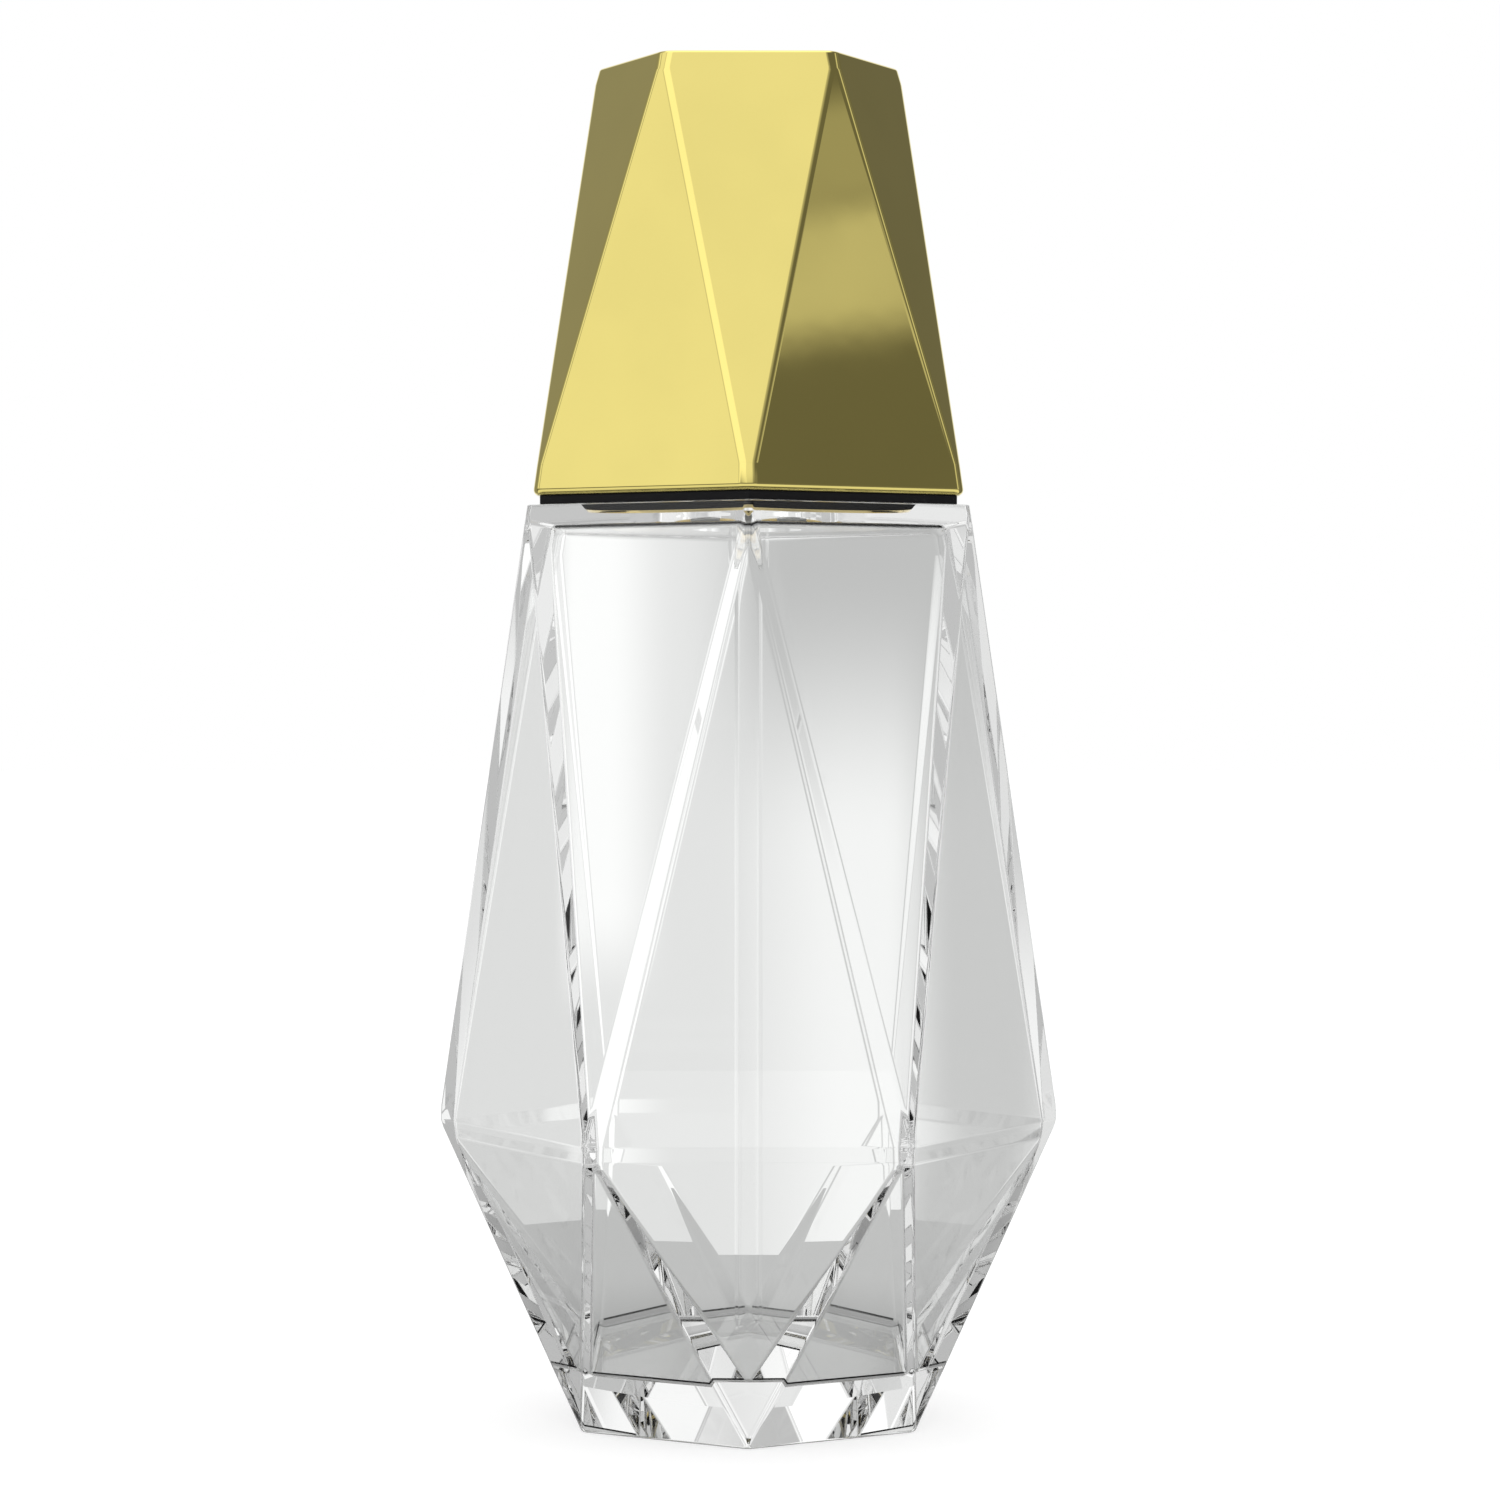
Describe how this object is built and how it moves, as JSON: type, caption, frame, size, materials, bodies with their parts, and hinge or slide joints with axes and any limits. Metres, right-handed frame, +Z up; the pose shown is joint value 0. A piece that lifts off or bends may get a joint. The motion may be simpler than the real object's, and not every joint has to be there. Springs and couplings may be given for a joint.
{
  "type": "perfume bottle",
  "caption": "Faceted clear-glass spray bottle with thick base, crimped fine-mist pump, metal collar and faceted gold lift-off cap.",
  "frame": {"origin": "centre of the flat base, on the surface the bottle stands on", "axes": "+Z up along the neck; the nozzle and one glass corner face -Y"},
  "size_m": [0.058, 0.0502, 0.126],
  "materials": {
    "clear_glass": "clear flint glass, fire polished, sharp facets with small round edges",
    "gold_metallised": "vacuum-metallised mirror gold under clear lacquer",
    "gold_aluminium": "gold anodised, polished",
    "black_plastic": "moulded black polypropylene",
    "black_seal": "moulded black elastomer, pressed wet against the glass",
    "white_plastic": "moulded natural polypropylene",
    "black_rubber": "moulded elastomer",
    "grey_rubber": "die-cut elastomer sheet",
    "spring_steel": "drawn stainless wire",
    "cast_steel": "turned steel",
    "ball_steel": "polished stainless ball",
    "clear_fluoropolymer": "thin clear tube"
  },
  "bodies": {
    "bottle": {"glass_bottle": "clear_glass", "neck_gasket": "grey_rubber", "pump_housing": "white_plastic", "stem_gland": "white_plastic", "stem_gasket": "black_rubber", "crimp_ferrule": "gold_aluminium", "collar": "gold_aluminium", "collar_liner": "white_plastic", "shoulder_ring": "black_seal", "return_spring": "spring_steel", "dip_tube": "clear_fluoropolymer"},
    "check_ball": {"check_ball": "ball_steel"},
    "stem": {"stem": "white_plastic", "precompression_spring": "spring_steel"},
    "piston": {"piston": "black_rubber"},
    "spray_head": {"actuator_core": "white_plastic", "actuator_shell": "gold_aluminium", "nozzle_insert": "black_plastic"},
    "cap": {"cap_shell": "gold_metallised", "cap_seal": "black_plastic", "cap_liner": "black_plastic", "cap_weight": "cast_steel"}
  },
  "joints": [
    {"name": "cap_lift", "type": "slide", "parent": "bottle", "child": "cap", "axis": [0, 0, 1], "range_m": [0, 0.06]},
    {"name": "head_press", "type": "slide", "parent": "bottle", "child": "stem", "axis": [0, 0, 1], "range_m": [-0.0045, 0], "stiffness_N_per_m": 2000, "springref_m": 0.004, "deforming": ["return_spring"]},
    {"name": "head_swivel", "type": "hinge", "parent": "stem", "child": "spray_head", "pos_m": [0, 0, 0.112], "axis": [0, 0, 1], "continuous": true},
    {"name": "piston_lift", "type": "slide", "parent": "stem", "child": "piston", "axis": [0, 0, 1], "range_m": [0, 0.0006], "stiffness_N_per_m": 500, "springref_m": -0.003, "deforming": ["precompression_spring"]},
    {"name": "check_ball_lift", "type": "slide", "parent": "bottle", "child": "check_ball", "axis": [0, 0, 1], "range_m": [0, 0.0008]}
  ]
}
